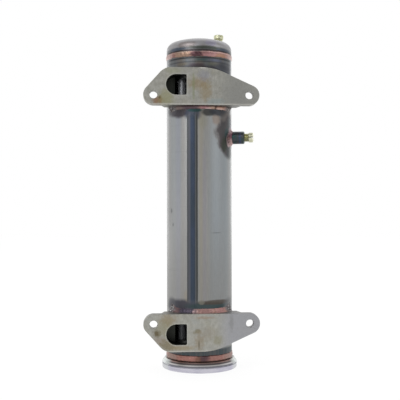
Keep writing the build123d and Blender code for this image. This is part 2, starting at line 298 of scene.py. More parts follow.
# Heat tints under the upper saddle, then above the lower one: angle and height, half sizes, strength, paint
SHELL_TINTS = (
    ((27, 286.5), (8, 7.5), 0.65, (134, 116, 102)),
    ((2, 284.0), (8, 9), 0.4, (150, 148, 130)),
    ((-2, 290.5), (5, 3.5), 0.6, (160, 154, 144)),
    ((-42, 294.8), (22, 7.0), 0.92, (72, 67, 72)),
    ((-60, 297.0), (14, 6.5), 0.75, (92, 90, 94)),
    ((-15, 291.5), (14, 7.0), 0.88, (60, 66, 82)),
    ((-11, 295.6), (12, 2.2), 0.95, (46, 70, 70)),
    ((13, 293.4), (13, 4.4), 0.9, (66, 66, 64)),
    ((36, 294.4), (20, 5.0), 0.9, (58, 60, 66)),
    ((51, 289.0), (17, 9.5), 0.85, (76, 76, 79)),
    ((-36, 74.2), (34, 7.2), 0.94, (72, 71, 79)),
    ((-62, 74.0), (12, 8.5), 0.8, (92, 92, 96)),
    ((14, 74.4), (40, 4.6), 0.94, (62, 76, 78)),
    ((26, 78.4), (32, 2.6), 0.85, (84, 76, 70)),
    ((0, 78.6), (5, 2.6), 0.7, (126, 124, 114)),
    ((60, 75.0), (16, 7.5), 0.6, (104, 106, 108)),
    ((-24, 86.0), (7, 7.0), 0.45, (152, 144, 130)),
)
SHELL_SCUFFS = (
    ((27, 156.8), (9, 0.5), 0.5, (84, 86, 88)),
    ((-61, 182), (3, 3), 0.5, (84, 86, 88)),
    ((-56, 166), (2, 2), 0.5, (84, 86, 88)),
)


def paint_burn(g, cloud):
    """Burnt patch round the vent boss, brown along its left edge, with a painted grey sheen towards its
    right side, and copper spilt at the boss's foot.
    """
    burnt = g.math(
        "MAXIMUM",
        g.patch((62, 268), (34, 22), 0.14, 0.28, (9, 9, 12), 21),
        g.patch((60, 254), (22, 11), 0.25, 0.2, (9, 9, 12), 22),
    )
    g.lay(g.patch((60, 271), (35, 23), 0.2, 0.2, (9, 9, 12), 21), 0.5, (124, 114, 106))
    g.lay(burnt, 0.92, g.mix(g.ease(cloud, 0.35, 0.65), (66, 70, 72), (80, 74, 76)))
    # Painted sheen: lighter grey towards the right side, above and below the boss
    g.lay(g.times(burnt, g.ease(g.angle, 56, 66), g.ease(g.z, 272, 280)), 0.65, (112, 116, 120))
    g.lay(g.times(burnt, g.ease(g.angle, 56, 70), g.ease(g.z, 262, 256)), 0.6, (134, 136, 136))
    g.lay(g.patch((52, 271), (5, 5), shift=23), 0.5, (56, 84, 84))
    g.lay(g.patch((70, 275), (9, 4), shift=24), 0.6, (150, 134, 142))
    g.lay(g.patch((46, 258), (8, 8), shift=25), 0.6, (62, 68, 56))
    g.lay(g.patch((59.5, 263), (7.5, 7.6), 0.2, 0.15, shift=26), 0.85, (190, 164, 164))
    g.lay(g.patch((61.5, 265.5), (6.5, 6.2), 0.2, 0.15, shift=27), 0.9, (118, 86, 94))


def paint_seam(g, cloud):
    """Weld seam between the saddles: navy core, grey borders, and a dark line outside each."""
    across = g.math("ADD", g.angle, g.math("SUBTRACT", g.noise((8, 8, 30), shift=11), 0.5))
    length = g.math("MULTIPLY", g.ease(g.z, 74, 83), g.ease(g.z, 296, 286))
    navy = g.mix(g.ease(cloud, 0.35, 0.6), (66, 76, 94), (62, 72, 84))
    for centre, half, soft, strength, paint in (
        (-15.7, 9.4, 0.8, 0.93, (84, 86, 92)),
        (-20.6, 1.4, 0.8, 0.7, (88, 91, 100)),
        (-15.2, 3.9, 0.8, 0.95, navy),
        (-10.2, 0.9, 0.6, 0.6, (92, 96, 98)),
        (-7.9, 1.1, 0.6, 0.85, (66, 68, 62)),
        (-24.0, 1.2, 0.7, 0.7, (76, 78, 80)),
    ):
        g.lay(g.times(g.stripe(across, centre, half, soft), length), strength, paint)


def paint_ends(g, streaks, cloud):
    """Bands of tint and smoke round both ends beside the copper, the lower one partly painted shade under
    the lower plate, painted contact shade along the upper plate's edge, painted rim light at both sides
    above z 316, and painted shade down the left side below them.
    """
    top = g.ease(g.z, 340, 347)
    smoke = g.mix(g.ease(cloud, 0.35, 0.65), (84, 90, 96), (104, 98, 92))
    g.lay(top, 0.85, g.shade(smoke, g.ease(streaks, 0.3, 0.7, 0.93, 1.07)))
    for up, around, strength, paint in (
        ((355.0, 0.9, 0.7), None, 0.85, (50, 52, 54)),
        ((352.8, 1.2, 0.9), (0, 10, 6), 0.7, (60, 88, 90)),
        ((352.6, 1.6, 0.9), (26, 12, 6), 0.7, (84, 92, 112)),
        ((350.6, 0.7, 0.6), None, 0.6, (58, 60, 64)),
        ((346.5, 2.2, 1.5), (-8, 13, 7), 0.7, (72, 60, 68)),
        ((348.4, 1.6, 1.0), (-34, 10, 6), 0.6, (112, 104, 90)),
        ((348.0, 1.6, 1.0), (20, 9, 6), 0.6, (98, 100, 84)),
    ):
        band = g.times(top, g.stripe(g.z, *up))
        if around:
            band = g.times(band, g.stripe(g.angle, *around))
        g.lay(band, strength, paint)
    g.lay(g.patch((44, 336), (34, 15), 0.3, 0.3, (9, 9, 9), 28), 0.9, (66, 68, 74))
    # Painted contact shade just above the upper plate's outer edge and behind it
    soot_and_shadow = g.times(g.ease(g.above_plate(), 5.0, 0.5), g.ease(g.y, 0, -12), g.ease(g.z, 300, 312))
    g.lay(soot_and_shadow, 0.75, (44, 42, 46))
    # Painted rim light: the shell lighter towards both sides above z 316
    g.lay(g.times(g.ease(g.z, 316, 322), g.ease(g.aside, 60, 76)), 0.6, (146, 149, 152))
    # Painted shade: the left side darkened from z 135 up to the upper plate
    left = g.times(g.ease(g.angle, -48, -76), g.ease(g.z, 135, 190), g.ease(g.z, 346, 296))
    g.colour = g.shade(g.colour, g.math("MULTIPLY_ADD", left, -0.32, 1.0))
    # Darker band round the foot above the collar's copper: heat tint, and painted shade under the lower
    # plate
    g.lay(g.ease(g.z, 27, 24), 0.92, g.mix(g.ease(streaks, 0.4, 0.6), (62, 72, 76), (78, 80, 82)))


def shell_steel():
    """Drawn tube: axial streaks, a blued weld seam, heat tints where other pieces are brazed on, and
    painted light and shade.
    """
    made, g = material("shell_steel")
    streaks = g.noise((3.4, 3.4, 190), detail=4)
    broad = g.noise((15, 15, 300), detail=2, shift=3)
    cloud = g.noise((14, 14, 40), shift=7)
    grain = g.noise((0.9, 0.9, 9), detail=5, rough=0.7)
    rings = g.noise((90, 90, 1.6), detail=3, shift=5)
    g.colour = g.mix(g.ease(broad, 0.35, 0.65), (150, 155, 157), (160, 159, 156))
    g.lay(g.ease(streaks, 0.52, 0.75), 0.4, (172, 171, 174))
    g.lay(g.ease(streaks, 0.48, 0.28), 0.35, (134, 139, 140))
    g.lay(g.ease(cloud, 0.5, 0.75), 0.3, (150, 152, 163))
    g.lay(g.ease(g.angle, -18, -26), 0.45, (172, 174, 175))
    g.lay(g.stripe(g.angle, -43, 5, 4), 0.35, (164, 166, 182))
    g.lay(g.stripe(g.angle, -31, 5, 3), 0.6, (168, 165, 162))
    g.lay(g.stripe(g.angle, -1, 4, 3), 0.75, (163, 158, 146))
    g.lay(g.times(g.stripe(g.angle, 5, 3, 2), g.ease(g.z, 262, 235)), 0.4, (152, 149, 160))
    g.lay(g.stripe(g.angle, 34, 19, 9), 0.75, (144, 150, 154))
    g.lay(g.ease(rings, 0.62, 0.78), 0.2, (112, 114, 116))
    g.lay(g.ease(g.z, 190, 80), 0.5, (130, 128, 124))

    g.spots(SHELL_TINTS, 0.34, 0.24, (7, 7, 5))
    paint_burn(g, cloud)
    paint_seam(g, cloud)
    paint_ends(g, streaks, cloud)
    g.spots(SHELL_SCUFFS, 0.4, 0.5, (2, 2, 2), shift=30)

    # Painted shade: the unlit inside, and the shell within the port passages, painted near black; seen only
    # through the ports
    inside = g.times(g.ease(g.reach, 37.7, 37.2), g.ease(g.z, 20, 34))
    ports = g.math("MAXIMUM", g.port(UPPER_PORT_Z), g.port(LOWER_PORT_Z))
    g.lay(g.math("MAXIMUM", inside, ports), 0.97, (44, 46, 42))
    g.colour = g.shade(g.colour, g.ease(grain, 0.2, 0.8, 0.93, 1.07))
    roughness = g.math("MULTIPLY_ADD", grain, 0.12, 0.36)
    height = g.math("ADD", g.math("MULTIPLY", grain, 0.5), g.math("MULTIPLY", streaks, 0.8))
    g.metal(roughness, height, 0.04)
    return made


def cap_steel():
    """Pressed dome: dull sheen, drawing lines round it, smoky tints above the braze, and a painted
    highlight on its top.
    """
    made, g = material("cap_steel")
    rings = g.noise((70, 70, 1.3), detail=4, shift=2)
    cloud = g.noise((11, 11, 6), detail=3, shift=4)
    grain = g.noise((1.0, 1.0, 1.0), detail=4, rough=0.7)
    g.colour = g.mix(g.ease(cloud, 0.35, 0.68), (150, 148, 148), (164, 164, 168))
    g.lay(g.patch((-26, 370.5), (18, 3.6), shift=1), 0.7, (128, 118, 116))
    g.lay(g.patch((17, 373), (10, 4), shift=2), 0.6, (154, 150, 174))
    g.lay(g.ease(g.z, 369.8, 365.8), 0.85, g.mix(g.ease(cloud, 0.4, 0.6), (80, 84, 82), (98, 98, 100)))
    # Painted highlight: the dome's top made lighter
    g.lay(g.ease(g.z, 371.5, 378.5), 0.7, (196, 195, 196))
    g.lay(g.patch((8, 366.9), (28, 1.7), 0.5, 0.4, shift=3), 0.8, (70, 76, 68))
    g.lay(g.patch((46, 365.5), (18, 2.0), shift=4), 0.7, (70, 80, 94))
    g.lay(g.patch((-44, 366.0), (18, 2.0), shift=6), 0.7, (74, 84, 100))
    g.lay(g.stripe(g.z, 363.8, 0.8, 0.5), 0.8, (56, 46, 46))
    g.lay(g.ease(rings, 0.6, 0.75), 0.3, (104, 104, 106))
    g.colour = g.shade(g.colour, g.ease(grain, 0.2, 0.8, 0.94, 1.06))
    roughness = g.math("MULTIPLY_ADD", grain, 0.12, 0.34)
    height = g.math("ADD", grain, g.math("MULTIPLY", rings, 1.5))
    g.metal(roughness, height, 0.05)
    return made


def turned_steel():
    """Turned collar: bright, with fine tool marks round it, a soiled neck, a painted shadow line under the
    neck's copper, a painted highlight ring on the neck, and painted pale light towards both sides.
    """
    made, g = material("turned_steel")
    cuts = g.noise((220, 220, 0.22), detail=2)
    cloud = g.noise((16, 16, 3), shift=3)
    g.colour = g.mix(g.ease(cloud, 0.35, 0.65), (190, 188, 202), (208, 206, 216))
    g.lay(g.ease(cuts, 0.5, 0.75), 0.3, (160, 160, 170))
    g.lay(g.ease(g.z, 6.4, 7.2), 0.55, (136, 134, 132))
    g.lay(g.stripe(g.z, 6.6, 0.5, 0.3), 0.85, (60, 62, 66))
    g.lay(g.stripe(g.z, 5.6, 0.55, 0.2), 0.5, (110, 110, 118))
    g.lay(g.ease(g.z, 9.9, 10.5), 0.9, g.mix(g.ease(cloud, 0.4, 0.6), (126, 100, 92), (150, 118, 108)))
    # Painted shadow line just under the copper on the neck
    g.lay(g.stripe(g.z, 9.4, 0.8, 0.4), 0.85, (70, 58, 54))
    # Painted highlight ring on the neck
    g.lay(g.stripe(g.z, 8.2, 0.5, 0.4), 0.6, (220, 216, 212))
    # Painted pale light towards both sides, over the face and the lines above it
    g.lay(g.ease(g.aside, 52, 64), 0.9, g.mix(g.ease(g.z, 6.6, 7.4), (206, 208, 210), (176, 181, 179)))
    roughness = g.math("MULTIPLY_ADD", cloud, 0.12, 0.32)
    g.metal(roughness, cuts, 0.015)
    return made


def flange_steel(name, stains_and_glint, clean_side, port_z, foot_z):
    """Ground plate, oily and stained, its clean right side plain grey, with painted highlights along its
    lower edge, round its port mouth and at one spot on the upper plate's top edge, and painted shade behind
    its face and in its port.
    """
    made, g = material(name)
    mottle = g.noise((3.6, 3.6, 4.4), detail=5, rough=0.58)
    cloud = g.noise((15, 15, 12), detail=3, shift=4)
    grain = g.noise((0.8, 0.8, 0.8), detail=3, shift=6)
    scratches = g.noise((0.6, 40, 20), detail=3, shift=8)
    specks = g.noise((1.4, 1.4, 1.6), detail=4, rough=0.7, shift=12)
    g.colour = g.mix(g.ease(mottle, 0.3, 0.7), (160, 159, 151), (177, 176, 169))
    g.lay(g.ease(cloud, 0.52, 0.75), 0.35, (166, 162, 142))
    g.lay(g.ease(cloud, 0.48, 0.28), 0.35, (166, 170, 170))
    g.lay(g.ease(scratches, 0.5, 0.7), 0.25, (142, 143, 138))
    g.lay(g.ease(g.x, 14, 34), 0.8, clean_side)
    g.spots(stains_and_glint, 0.6, 0.9, (2.6, 4, 3.4), step=2.3, across=g.x)
    g.lay(g.ease(specks, 0.56, 0.7), 0.4, (126, 122, 108))
    g.lay(g.ease(specks, 0.44, 0.3), 0.3, (186, 186, 182))
    face = g.ease(g.y, FACE_Y + 0.4, FACE_Y + 0.1)
    # Painted highlight round the port's mouth on the face
    g.lay(g.times(face, g.stripe(g.port_gap(port_z), 0.8, 0.4, 0.4)), 0.4, (205, 205, 198))
    # Painted highlight along the plate's lower edge
    g.lay(g.stripe(g.z, foot_z, 0.7, 0.5), 0.55, (205, 203, 196))
    # Painted shade on the plate's edges, underside and saddle, behind its face
    behind = g.ease(g.y, FACE_Y + 0.6, FACE_Y + 1.9)
    g.lay(behind, 0.55, g.mix(g.ease(mottle, 0.35, 0.65), (96, 95, 92), (124, 122, 118)))
    # Painted shade inside the port passage
    g.lay(g.port(port_z), 0.96, (50, 52, 48))
    g.colour = g.shade(g.colour, g.ease(grain, 0.2, 0.8, 0.92, 1.08))
    roughness = g.math("MULTIPLY_ADD", mottle, 0.16, 0.4)
    height = g.math("ADD", g.math("MULTIPLY", grain, 0.6), g.math("MULTIPLY", scratches, 0.5))
    g.metal(roughness, height, 0.05)
    return made


def boss_steel():
    """Blackened bosses, blued and brown by the brazing heat, with lathe marks."""
    made, g = material("boss_steel")
    out = g.along(VENT_OUT)
    cuts = g.math("SINE", g.math("MULTIPLY", out, 9.0))
    cloud = g.noise((4, 4, 5), detail=4)
    g.colour = g.mix(g.ease(cloud, 0.35, 0.65), (54, 76, 75), (74, 76, 80))
    g.lay(g.stripe(out, 49.2, 1.2, 0.8), 0.6, (76, 78, 108))
    g.lay(g.stripe(out, 46.6, 0.9, 0.7), 0.5, (86, 70, 82))
    g.lay(g.ease(cloud, 0.62, 0.75), 0.4, (110, 112, 116))
    g.lay(g.times(g.ease(g.z, 271.0, 273.6), g.ease(out, 36, 40)), 0.6, (138, 140, 142))
    roughness = g.math("MULTIPLY_ADD", cloud, 0.2, 0.34)
    g.metal(roughness, g.math("ADD", cloud, g.math("MULTIPLY", cuts, 0.15)), 0.08)
    return made


def tube_steel():
    """Cooling tubes: bright up high, with painted shade darkening them towards the lower port and painted
    shadow above z 328.
    """
    made, g = material("tube_steel")
    streaks = g.noise((1.2, 1.2, 30), detail=4)
    g.colour = g.mix(g.ease(streaks, 0.35, 0.65), (168, 171, 176), (200, 202, 206))
    # Painted shade: darker towards the lower port
    g.colour = g.shade(g.colour, g.ease(g.z, 40, 200, 0.3, 1.0))
    # Painted shadow: dark above z 328, under the upper port's top edge and tube plate
    g.colour = g.shade(g.colour, g.ease(g.z, 334, 328, 0.1, 1.0))
    roughness = g.math("MULTIPLY_ADD", streaks, 0.08, g.ease(g.z, 60, 160, 0.6, 0.17))
    g.metal(roughness, streaks, 0.02, metallic=0.45)
    return made


def inner_steel():
    """Tube plates, baffles and the partition: dull, oily steel."""
    made, g = material("inner_steel")
    cloud = g.noise((7, 7, 7), detail=4)
    grain = g.noise((0.7, 0.7, 0.7), detail=3, shift=3)
    g.colour = g.mix(g.ease(cloud, 0.35, 0.65), (92, 94, 94), (122, 121, 118))
    g.colour = g.shade(g.colour, g.ease(grain, 0.2, 0.8, 0.9, 1.1))
    g.metal(0.42, grain, 0.05)
    return made


def copper(name, tints, soot_and_shadow, ripple, spatter_and_glint=0.0):
    """Brazing copper whose tint changes round the shell: tints are ovals of angle and height, among them
    painted highlights and painted shade lines; when asked, dark spatter and painted glints near 62 degrees
    to either side.
    """
    made, g = material(name)
    streak = g.noise((2.2, 2.2, 1.1), detail=4, rough=0.62, twist=0.5)
    cloud = g.noise((6, 6, 4), detail=3, shift=5)
    fine = g.noise((0.6, 0.6, 0.5), detail=3, shift=9)
    g.colour = g.mix(g.ease(streak, 0.35, 0.65), (142, 108, 98), (182, 146, 136))
    g.lay(g.ease(cloud, 0.5, 0.7), 0.55, (162, 132, 126))
    g.lay(g.ease(cloud, 0.45, 0.28), 0.5, (120, 92, 86))
    g.lay(g.ease(streak, 0.62, 0.76), 0.6, (208, 178, 170))
    g.spots(tints, 0.35, 0.4, (4, 4, 2.5), step=1.9)
    if spatter_and_glint:
        # Dark spatter, and light spots painted as glints, near the saddle's ends
        spatter_glint_noise = g.noise((1.5, 1.5, 2.2), detail=2, twist=1.5, shift=13)
        ends = g.stripe(g.aside, 62, 9, 4)
        g.lay(g.times(ends, g.ease(spatter_glint_noise, 0.52, 0.58)), spatter_and_glint, (44, 42, 43))
        g.lay(g.times(ends, g.ease(spatter_glint_noise, 0.4, 0.34)), spatter_and_glint, (235, 235, 232))
    g.lay(g.ease(fine, 0.6, 0.8), soot_and_shadow, (70, 52, 52))
    roughness = g.math("MULTIPLY_ADD", streak, 0.2, 0.32)
    height = g.math("ADD", streak, g.math("MULTIPLY", fine, 0.4))
    g.metal(roughness, height, ripple)
    return made


def plug_brass():
    """Passivated brass, yellow-green, with dull thread roots; the vent plug's neck is olive with painted
    shade on its lower half, and its slot is painted dark as shade.
    """
    made, g = material("plug_brass")
    cloud = g.noise((2.2, 2.2, 2.2), detail=4)
    fine = g.noise((0.5, 0.5, 0.5), detail=3, shift=4)
    g.colour = g.mix(g.ease(cloud, 0.35, 0.65), (196, 198, 160), (220, 220, 192))
    g.lay(g.ease(cloud, 0.62, 0.78), 0.6, (144, 136, 84))
    g.lay(g.ease(fine, 0.62, 0.8), 0.5, (98, 96, 60))
    out = g.along(VENT_OUT)
    neck = g.times(g.ease(out, 50, 52), g.ease(out, 59.2, 58.2))
    # Olive neck, with painted shade darkening its lower half
    g.lay(neck, 0.6, g.mix(g.ease(g.z, 264.5, 268.5), (98, 96, 52), (164, 160, 92)))
    head = g.ease(out, VENT_HEAD_OUT, VENT_HEAD_OUT + 0.8)
    g.lay(head, 0.5, (214, 213, 196))
    # Painted shade in the vent plug's slot
    g.lay(g.times(head, g.stripe(g.z, VENT_Z, 0.8, 0.03)), 0.9, (92, 94, 68))
    roughness = g.math("MULTIPLY_ADD", cloud, 0.2, 0.36)
    g.metal(roughness, fine, 0.05)
    return made


# ---------------------------------------------------------------- pieces in mesh code


def wobble(*place):
    """Repeatable noise from -1 to 1."""
    return noise.noise(Vector(place))


def smooth(value, low, high):
    """A smooth step from 0 to 1 between low and high."""
    step = min(max((value - low) / (high - low), 0.0), 1.0)
    return step * step * (3 - 2 * step)


def add_piece(name, mesh, look, slot, *nodes, rounded=True):
    """Finishes a piece that rides on the one body and stands for the CAD nodes named, if any."""
    mesh.materials.append(look)
    for face in mesh.polygons:
        face.use_smooth = rounded
    piece = bpy.data.objects.new(name, mesh)
    bpy.context.scene.collection.objects.link(piece)
    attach(piece, "root")
    if nodes:
        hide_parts(*nodes)


def sweep(name, loops, closed):
    """A mesh skin over loops of points; open ends are filled."""
    mesh = bpy.data.meshes.new(name)
    count = len(loops[0])
    points = [point for loop in loops for point in loop]
    faces = []
    spans = len(loops) if closed else len(loops) - 1
    for i in range(spans):
        here, there = i * count, (i + 1) % len(loops) * count
        for j in range(count):
            k = (j + 1) % count
            faces.append((here + j, there + j, there + k, here + k))
    if not closed:
        faces.append(tuple(range(count)))
        faces.append(tuple(reversed(range((len(loops) - 1) * count, len(loops) * count))))
    mesh.from_pydata(points, [], faces)
    mesh.validate()
    work = bmesh.new()
    work.from_mesh(mesh)
    bmesh.ops.recalc_face_normals(work, faces=work.faces)
    work.to_mesh(mesh)
    work.free()
    return mesh


def box_middle(node):
    """The middle of a CAD node's box, as x, y and z."""
    return [(low + high) / 2 for low, high in zip(*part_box(node))]


def ring_point(radius, angle, height):
    """A point at a radius, an angle from -Y towards +X, and a height."""
    return (radius * math.sin(angle), -radius * math.cos(angle), height)


def braze_band(name, node, look, seed, beads, low_climb, high_climb):
    """A run of overlapping copper beads round the shell; its edges wander and climb away from the front."""
    low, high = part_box(node)
    middle = (low.z + high.z) / 2
    half = (high.z - low.z) / 2
    steps, rows = 720, 14
    loops = []
    for i in range(steps):
        angle = 2 * math.pi * i / steps
        u, v = math.cos(angle) * 3, math.sin(angle) * 3
        under = -half + 0.7 * MM * wobble(u * 2, v * 2, seed) + 0.3 * MM * wobble(u * 7, v * 7, seed)
        over = half + 0.6 * MM * wobble(u * 2, v * 2, seed + 5) + 0.3 * MM * wobble(u * 7, v * 7, seed + 5)
        aside = 1 - max(0.0, math.cos(angle))
        under += low_climb * MM * aside
        over += high_climb * MM * aside
        swell = 1.0 + 0.25 * wobble(u * 3, v * 3, seed + 9)
        loop = [ring_point(SHELL_R - ROOT, angle, middle + under * 0.8)]
        for j in range(rows + 1):
            t = j / rows
            rise = under + (over - under) * t
            lobes = 0.92 + 0.12 * math.cos(math.pi * (t - 0.45) * 4)
            bulge = math.sin(math.pi * t) ** 0.55 * lobes * swell
            bead = math.cos(angle * beads + 5.2 * t + 1.5 * wobble(u, v, seed + 3))
            radius = SHELL_R - LAP + (bulge * 0.8 + 0.1 * bead * math.sin(math.pi * t)) * MM
            loop.append(ring_point(radius, angle, middle + rise))
        loop.append(ring_point(SHELL_R - ROOT, angle, middle + over * 0.8))
        loops.append(loop)
    add_piece(name, sweep(name, loops, True), look, "copper_braze", node)


def hollow(start, corner, end, steps):
    """Points on a hollow curve from start to end that sags towards the corner."""
    start, corner, end = Vector(start), Vector(corner), Vector(end)
    bend = corner.lerp((start + end) / 2, 0.35)
    points = []
    for j in range(steps + 1):
        t = j / steps
        points.append(start * (1 - t) ** 2 + bend * 2 * t * (1 - t) + end * t * t)
    return points


def saddle_braze(name, node, plate, look, below, width, spread, seed):
    """Copper drawn along the saddle's inner edge, turning up behind both of its ends."""
    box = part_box(plate)
    sign = -1 if below else 1
    edge = box[0].z if below else box[1].z
    steps, rows = 360, 9
    turn_from, turn_to, last = 44, 62, 67
    loops = []
    for i in range(steps + 1):
        angle = math.radians(last) * (2 * i / steps - 1)
        arc = angle * SHELL_R / MM
        turn = smooth(abs(math.degrees(angle)), turn_from, turn_to)
        close = 1 - smooth(abs(math.degrees(angle)), turn_to, last)
        foot = width + 0.5 * wobble(arc / 5, seed, 0) + 0.25 * wobble(arc / 1.6, seed, 4) + spread * turn
        foot *= 0.35 + 0.65 * close
        out = 2.2 + 0.3 * wobble(arc / 4, seed, 8) + 1.2 * turn * close
        ridge = 0.16 * math.cos(arc * (1.5 + 1.2 * turn)) * (0.6 + 1.6 * turn)
        start = ring_point(SHELL_R + out * MM, angle, edge - sign * LAP)
        corner = ring_point(SHELL_R, angle, edge)
        end = ring_point(SHELL_R - EDGE_LAP, angle, edge + sign * foot * MM)
        curve = hollow(start, corner, end, rows)
        for j in range(1, rows):
            t = j / rows
            lift = ridge * math.sin(math.pi * t) * MM
            curve[j] += Vector(ring_point(lift * 0.7, angle, sign * lift * 0.7))
        loops.append([*curve, ring_point(SHELL_R - SADDLE_ROOT, angle, edge - sign * LAP)])
    add_piece(name, sweep(name, loops, False), look, "copper_braze", node)


def flank_braze(name, plate, look, below, side, seed):
    """Copper in the corner between the saddle's back and the shell, from just past its inner edge."""
    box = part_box(plate)
    sign = -1 if below else 1
    overrun, length = 3.2 * MM, 30 * MM
    start_z = (box[0].z if below else box[1].z) + sign * overrun
    first = math.asin(FLANK_X / SHELL_R)
    steps, rows = 110, 8
    loops = []
    for i in range(steps + 1):
        t = i / steps
        z = start_z - sign * length * t
        ends = min(smooth(t, 0, 0.07), 1 - smooth(t, 0.9, 1.0))
        mm = (z - start_z) / MM
        out = (0.4 + (2.0 + 0.35 * wobble(mm / 4, seed, 1)) * ends) * MM
        back = (0.5 + (4.0 + 0.5 * wobble(mm / 5, seed, 2)) * ends) * MM
        ridge = 0.15 * math.cos(mm * 2.1) * ends * MM
        final = first + back / SHELL_R
        curve = hollow(
            (FLANK_X + out, SADDLE_BACK_Y - LAP, z),
            (FLANK_X, SADDLE_BACK_Y, z),
            (SHELL_R * math.sin(final) - EDGE_LAP, -SHELL_R * math.cos(final), z),
            rows,
        )
        for j in range(1, rows):
            curve[j] += Vector((0.7, 0.7, 0)) * ridge * math.sin(math.pi * j / rows)
        loop = [*curve, Vector((FLANK_X - SADDLE_ROOT, SADDLE_BACK_Y - LAP, z))]
        loops.append([(side * p.x, p.y, p.z) for p in loop])
    add_piece(name, sweep(name, loops, False), look, "copper_braze")


def vent_braze(name, node, look):
    """Copper fillet round the vent boss's foot, widest in front, seated on the round shell."""
    up = Vector((0, 0, 1))
    front = Vector((-math.sin(VENT_TURN), -math.cos(VENT_TURN), 0))
    centre = Vector((0, 0, box_middle("vent_boss")[2]))
    steps, rows = 220, 9
    tip_turn = math.radians(142)
    loops = []

    def on_shell(radius, around, lift):
        """A point at a radius and a turn round the boss's axis, lifted off the shell."""
        c, s = math.cos(around), math.sin(around)
        reach = math.sqrt(SHELL_R**2 - (radius * s) ** 2) + lift
        return centre + VENT_OUT * reach + (up * c + front * s) * radius

    for i in range(steps):
        around = 2 * math.pi * i / steps
        c, s = math.cos(around), math.sin(around)
        tip = 1.5 * max(0.0, math.cos(around - tip_turn)) ** 6
        ragged = 0.7 * wobble(c * 3, s * 3, 2) + 0.3 * wobble(c * 9, s * 9, 4)
        leg = (3.0 + 3.2 * max(0.0, s) ** 2 + tip + ragged) * MM
        rise = (2.6 + 0.5 * wobble(c * 3, s * 3, 7)) * MM
        start = on_shell(BOSS_R - LAP, around, rise)
        corner = on_shell(BOSS_R, around, 0)
        end = on_shell(BOSS_R + leg, around, -EDGE_LAP)
        curve = hollow(start, corner, end, rows)
        ridge = 0.14 * MM * math.cos(around * 26 + 1.2 * wobble(c * 2, s * 2, 11))
        for j in range(1, rows):
            curve[j] += VENT_OUT * ridge * math.sin(math.pi * j / rows)
        loops.append([*curve, on_shell(BOSS_R - LAP, around, -ROOT)])
    add_piece(name, sweep(name, loops, True), look, "copper_braze", node)


def cap_boss_braze(name, node, look):
    """Thin copper fillet where the dome's boss meets the dome."""
    centre = Vector((*box_middle("cap_boss")[:2], 0))
    crown_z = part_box("end_cap")[1].z - CROWN_R
    knuckle_x = SHELL_R - KNUCKLE_R
    knuckle_z = crown_z + math.sqrt((CROWN_R - KNUCKLE_R) ** 2 - knuckle_x**2)
    crown_reach = knuckle_x * CROWN_R / (CROWN_R - KNUCKLE_R)
    steps, rows = 200, 8
    loops = []

    def dome(radius, direction, lift):
        """A point at a radius and a direction from the boss's axis, lifted off the dome."""
        place = centre + direction * radius
        reach = place.length
        if reach <= crown_reach:
            height = crown_z + math.sqrt(CROWN_R**2 - reach**2)
        else:
            over = min(reach - knuckle_x, KNUCKLE_R * 0.999)
            height = knuckle_z + math.sqrt(KNUCKLE_R**2 - over**2)
        return Vector((place.x, place.y, height + lift))

    for i in range(steps):
        around = 2 * math.pi * i / steps
        direction = Vector((math.cos(around), math.sin(around), 0))
        leg = (1.7 + 0.4 * wobble(direction.x * 3, direction.y * 3, 2)) * MM
        rise = (1.3 + 0.3 * wobble(direction.x * 3, direction.y * 3, 6)) * MM
        start = dome(BOSS_R - LAP, direction, rise)
        corner = dome(BOSS_R, direction, 0)
        end = dome(BOSS_R + leg, direction, -EDGE_LAP)
        curve = hollow(start, corner, end, rows)
        loops.append([*curve, dome(BOSS_R - LAP, direction, -ROOT)])
    add_piece(name, sweep(name, loops, True), look, "copper_braze", node)


def revolve(work, profile, turns=72):
    """Adds a closed skin of (radius, height) pairs; a radius may be a function of the turn."""
    rings = []
    for radius, height in profile:
        ring = []
        for i in range(turns):
            around = 2 * math.pi * i / turns
            r = radius(around) if callable(radius) else radius
            ring.append(work.verts.new((r * math.cos(around), r * math.sin(around), height)))
        rings.append(ring)
    for a, b in zip(rings, rings[1:]):
        for i in range(turns):
            k = (i + 1) % turns
            work.faces.new((a[i], a[k], b[k], b[i]))
    work.faces.new(list(reversed(rings[0])))
    work.faces.new(rings[-1])


def thread(height):
    """The neck's radius at a height, as a function of the turn."""
    def radius(around):
        phase = height / THREAD_PITCH - around / (2 * math.pi)
        tooth = abs((phase % 1.0) * 2 - 1)
        return PLUG_NECK_R - THREAD_DEPTH * smooth(tooth, 0.15, 0.85)
    return radius


